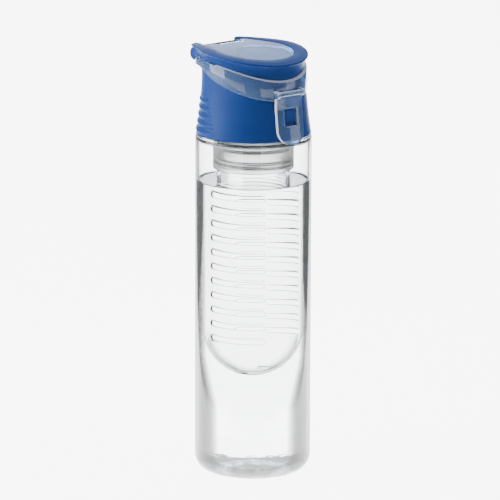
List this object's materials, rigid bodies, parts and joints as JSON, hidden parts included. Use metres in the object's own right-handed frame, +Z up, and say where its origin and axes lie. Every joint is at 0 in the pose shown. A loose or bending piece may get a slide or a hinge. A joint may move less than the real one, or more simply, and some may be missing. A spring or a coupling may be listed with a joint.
{
  "type": "infuser water bottle",
  "caption": "Tall clear drinking bottle with a blue screw cap, a clip-locked flip lid over a spout, and a slotted fruit infuser basket that hangs inside.",
  "frame": {"origin": "middle of the base, on the surface that the bottle stands on", "axes": "+Z up along the bottle, -Y towards the clip and the spout, +Y towards the lid's hinge, +X to the right seen from the front"},
  "size_m": [0.07, 0.0742, 0.2604],
  "materials": {
    "clear_body": "clear polished copolyester",
    "cap_blue": "satin blue polypropylene",
    "silicone": "milky silicone",
    "frosted": "frosted polypropylene",
    "basket_clear": "clear plastic",
    "lid_clear": "clear plastic with a faint blue cast",
    "steel": "plain steel wire"
  },
  "bodies": {
    "bottle": {"bottle_body": "clear_body"},
    "seal_carrier": {"neck_seal": "silicone"},
    "cap": {"cap_base": "cap_blue", "vent_valve": "silicone", "hinge_pin": "steel", "infuser_collar": "frosted"},
    "lid": {"lid_trim": "cap_blue", "lid_shell": "lid_clear", "spout_plug": "silicone", "latch_pin": "steel"},
    "latch": {"latch_clip": "lid_clear"},
    "infuser_ring": {"infuser_seal": "silicone"},
    "basket": {"infuser_basket": "basket_clear"}
  },
  "joints": [
    {"name": "cap_lift", "type": "slide", "parent": "bottle", "child": "seal_carrier", "axis": [0, 0, 1], "range_m": [0, 0.008]},
    {"name": "cap_turn", "type": "hinge", "parent": "seal_carrier", "child": "cap", "pos_m": [0, 0, 0.2084], "axis": [0, 0, 1], "range_deg": [0, 720]},
    {"name": "lid_hinge", "type": "hinge", "parent": "cap", "child": "lid", "pos_m": [0, 0.0329, 0.254], "axis": [-1, 0, 0], "range_deg": [0, 115]},
    {"name": "latch_swing", "type": "hinge", "parent": "lid", "child": "latch", "pos_m": [0, -0.0336, 0.23726], "axis": [-1, 0, 0], "range_deg": [0, 70]},
    {"name": "basket_drop", "type": "slide", "parent": "cap", "child": "infuser_ring", "axis": [0, 0, -1], "range_m": [0, 0.009]},
    {"name": "basket_turn", "type": "hinge", "parent": "infuser_ring", "child": "basket", "pos_m": [0, 0, 0.1995], "axis": [0, 0, -1], "range_deg": [0, 720]}
  ],
  "couplings": [
    {"joint": "cap_lift", "follows": "cap_turn", "m_per_rad": 0.0006366},
    {"joint": "basket_drop", "follows": "basket_turn", "m_per_rad": 0.000716}
  ]
}
